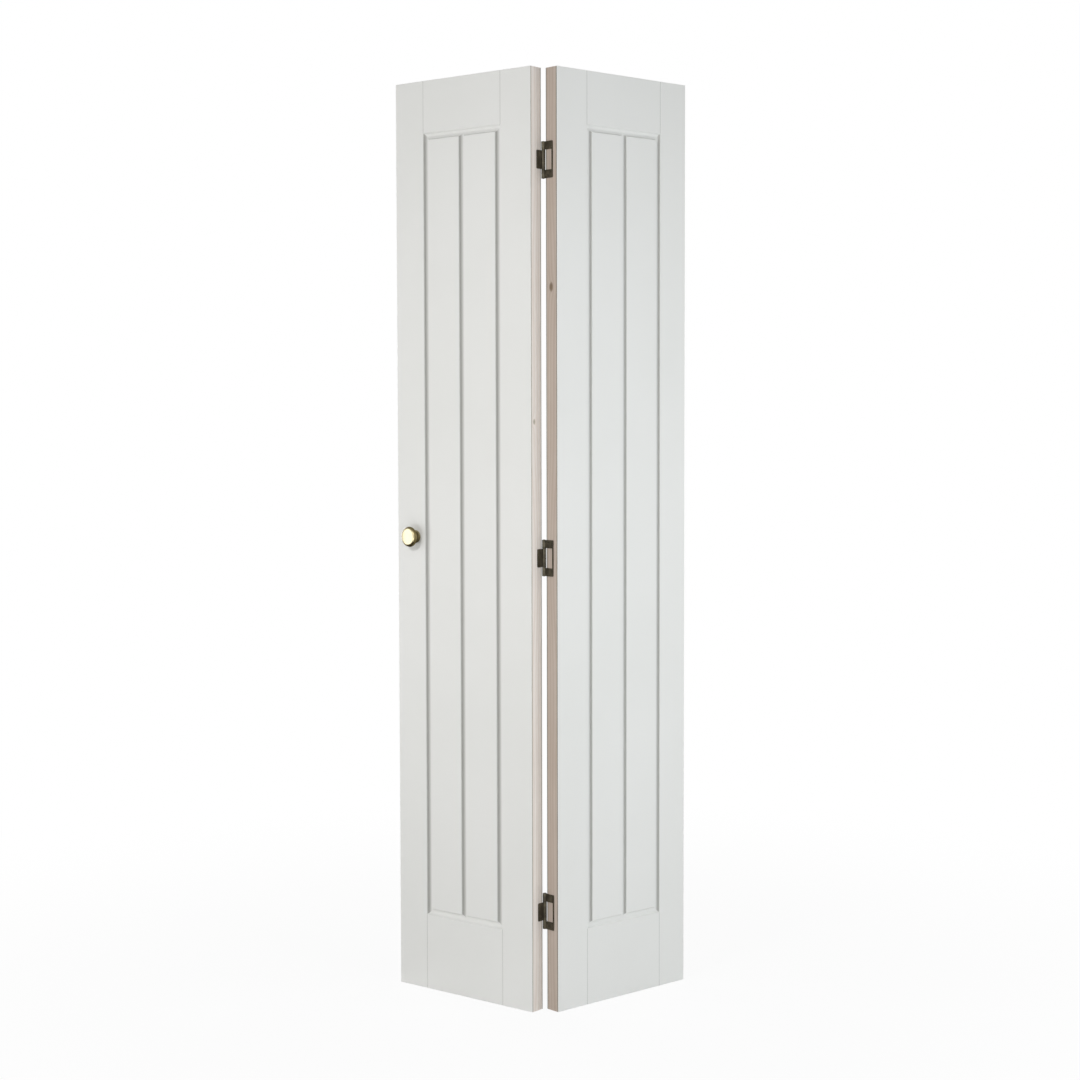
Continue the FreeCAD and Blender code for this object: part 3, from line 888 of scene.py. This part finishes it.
def bolt(leaf):
    """Pan head with a cross recess behind the leaf, and its shank through to the knob.

    The head's face is crown * (radius / head) ^ 2 below its middle, less the recess.
    """
    low, high = leaf.flat_box("knob_bolt")
    centre = np.array([(low[0] + high[0]) / 2, 0.0, (low[2] + high[2]) / 2])
    head = (high[0] - low[0]) / 2
    tall = high[1]
    face = np.concatenate([np.linspace(0, 0.0030, 14), head * np.array(BOLT_RINGS)])
    crown = tall - BOLT_CROWN * (face / head) ** 2
    radius = np.concatenate([face, [head, head, BOLT_SHANK, BOLT_SHANK, 0.0]])[:, None]
    height = np.concatenate([crown, [tall * 0.35, 0.0, 0.0, low[1] + 0.0005, low[1]]])[:, None]
    angle = np.linspace(0, 2 * np.pi, BOLT_SIDES, endpoint=False)
    x, z = radius * np.cos(angle + BOLT_TURN), radius * np.sin(angle + BOLT_TURN)
    recess = cross_recess(x, z, *BOLT_RECESS) * (height > 0)
    points = np.stack([centre[0] + radius * np.cos(angle), height - recess,
                       centre[2] + radius * np.sin(angle)], -1).reshape(-1, 3)
    faces = grid_faces(len(radius), BOLT_SIDES, wrap=True)
    return new_piece("lead_knob_bolt_head", leaf.stand(points), faces,
                     crease=35.0, flipped=leaf.side < 0)


# Build

jamb = Leaf("jamb", 1)
lead = Leaf("lead", -1)
coat = satin_primer()
bronze = dark_bronze()
brass = polished_brass()
paper = kraft_paper()
steel = strip_steel()

for leaf in (jamb, lead):
    prefix, tones = leaf.prefix + "_", PINE_TONES[leaf.prefix]
    knotty = pine(prefix + "pine", leaf.side, True, tones, KNOTS[leaf.prefix])
    clear = pine(prefix + "clear_pine", leaf.side, True, tones, [])
    level = pine(prefix + "rail_pine", leaf.side, False, tones, [])
    board = board_edge(prefix + "board_edge", EDGE_TONES[leaf.prefix])
    for way in ("front", "back"):
        face = skin(leaf, prefix + way + "_face", way == "front")
        dress(face, leaf.body, [prefix + way + "_skin"], [coat, board])

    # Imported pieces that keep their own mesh
    kept = {"outer_stile": clear, "hinge_stile": knotty, "top_rail": level, "bottom_rail": level,
            "honeycomb_core": paper, "corner_fasteners": steel}
    if leaf is lead:
        kept.update({"lock_block": clear, "knob_insert": brass})
    for node, material in kept.items():
        materials = leaf.mesh(node).materials
        materials.clear()
        materials.append(material)

    heads = screw_heads(leaf, prefix + "screw_heads", "hinge_screws")
    dress(heads, leaf.body, [prefix + "hinge_screws"], [bronze])
    kind = "outer" if leaf is jamb else "inner"
    for height in HINGES:
        node = height + "_" + kind + "_plate"
        for made in (plate(prefix + height + "_" + kind + "_leaf", prefix + node),
                     barrels(leaf, prefix + height + "_barrels", node)):
            dress(made, leaf.body, [prefix + node], [bronze])

for height in HINGES:
    made = pin(jamb, "jamb_" + height + "_domed_pin", height + "_pin")
    dress(made, jamb.body, ["jamb_" + height + "_pin"], [bronze])
dress(knob_face(lead), lead.body, ["lead_knob_face"], [brass])
dress(knob_back(lead), lead.body, ["lead_knob_back"], [brass])
dress(bolt(lead), lead.body, ["lead_knob_bolt"], [steel])


# Studio

def rays_to_background(finish):
    """1 for rays that see the background directly, in a reflection or through glass."""
    camera, glossy, through = (finish.add("ShaderNodeLightPath", {}, {}, name) for name in
                               ("Is Camera Ray", "Is Glossy Ray", "Is Transmission Ray"))
    return camera.most(glossy).most(through)


def studio_world(ambient):
    """Soft light from all round, and plain white for rays that see the background."""
    world = bpy.data.worlds.new("studio")
    bpy.context.scene.world = world
    f = Finish(world)
    soft = f.add("ShaderNodeBackground", {}, {"Color": AMBIENT_TONE, "Strength": ambient})
    white = f.add("ShaderNodeBackground", {}, {"Color": WHITE, "Strength": 1.0})
    mixed = f.add("ShaderNodeMixShader", {}, {0: rays_to_background(f), 1: soft, 2: white})
    f.add("ShaderNodeOutputWorld", {}, {"Surface": mixed})


def level_card(name, low, high, height):
    """A level rectangle of the studio, between two corners (x, y)."""
    corners = [(low[0], low[1], height), (high[0], low[1], height),
               (high[0], high[1], height), (low[0], high[1], height)]
    card = new_piece(name, np.array(corners, float), np.array([[0, 1, 2, 3]]))
    return card


def studio_floor(half_size, shade_share):
    """Pale floor that fades into the white background and keeps a share of the shadow."""
    floor = level_card("floor", (-half_size, -half_size), (half_size, half_size), 0)
    f = new_finish("floor_paper")
    x, y, _ = f.parts(f.place())
    far = (x * x + y * y).root().step(*FLOOR_FADE)
    glow = rays_to_background(f) * (1.0 - shade_share * (1.0 - far))
    paper_white = f.add("ShaderNodeBsdfDiffuse", {}, {"Color": FLOOR_TONE})
    white = f.add("ShaderNodeEmission", {}, {"Color": WHITE, "Strength": 1.0})
    mixed = f.add("ShaderNodeMixShader", {}, {0: glow, 1: paper_white, 2: white})
    f.add("ShaderNodeOutputMaterial", {}, {"Surface": mixed})
    floor.data.materials.append(f.owner)


def dark_flag(name, low, high, height):
    """Level dark card over a rectangle of the floor that only shows in reflections."""
    flag = level_card(name, low, high, height)
    flag.visible_camera = flag.visible_diffuse = False
    flag.visible_shadow = flag.visible_transmission = False
    f = new_finish(name)
    cloth = f.add("ShaderNodeBsdfDiffuse", {}, {"Color": FLAG_TONE})
    f.add("ShaderNodeOutputMaterial", {}, {"Surface": cloth})
    flag.data.materials.append(f.owner)


def softbox(name, azimuth, distance, height, aim, size, power, tone):
    """Lamp at an azimuth in degrees from the front, aimed at a height on the middle line."""
    turn = math.radians(azimuth)
    place = Vector((distance * math.sin(turn), -distance * math.cos(turn), height))
    data = bpy.data.lights.new(name, "AREA")
    data.shape = "RECTANGLE"
    data.size, data.size_y = size
    data.energy = power
    data.color = tone
    lamp = new_object(name, data)
    lamp.location = place
    lamp.rotation_euler = (Vector((0.0, 0.0, aim)) - place).to_track_quat("-Z", "Y").to_euler()


def camera(place, yaw, pitch, roll, lens):
    """Level axes turned by yaw about the vertical, raised by pitch, then rolled about the view."""
    yaw, pitch, roll = (math.radians(a) for a in (yaw, pitch, roll))
    level = math.cos(pitch)
    ahead = Vector((math.sin(yaw) * level, math.cos(yaw) * level, math.sin(pitch)))
    right = ahead.cross(Vector((0, 0, 1))).normalized()
    up = right.cross(ahead)
    c, s = math.cos(roll), math.sin(roll)
    right, up = c * right + s * up, c * up - s * right
    data = bpy.data.cameras.new("camera")
    data.sensor_width = 36.0
    data.lens = lens
    data.clip_start, data.clip_end = 0.05, 200.0
    made = new_object("camera", data)
    made.matrix_world = Matrix((right, up, -ahead)).transposed().to_4x4()
    made.location = place
    bpy.context.scene.camera = made


bpy.context.scene.view_settings.view_transform = "Standard"
studio_world(ambient=0.25)
studio_floor(half_size=40.0, shade_share=0.08)
for lamp in LAMPS:
    softbox(*lamp)
dark_flag("floor_flag", (-2.4, -1.7), (-0.33, 0.6), 0.015)
camera(place=(-0.1079, -4.4024, 1.2499), yaw=1.324, pitch=-3.330, roll=-0.120, lens=68.21)
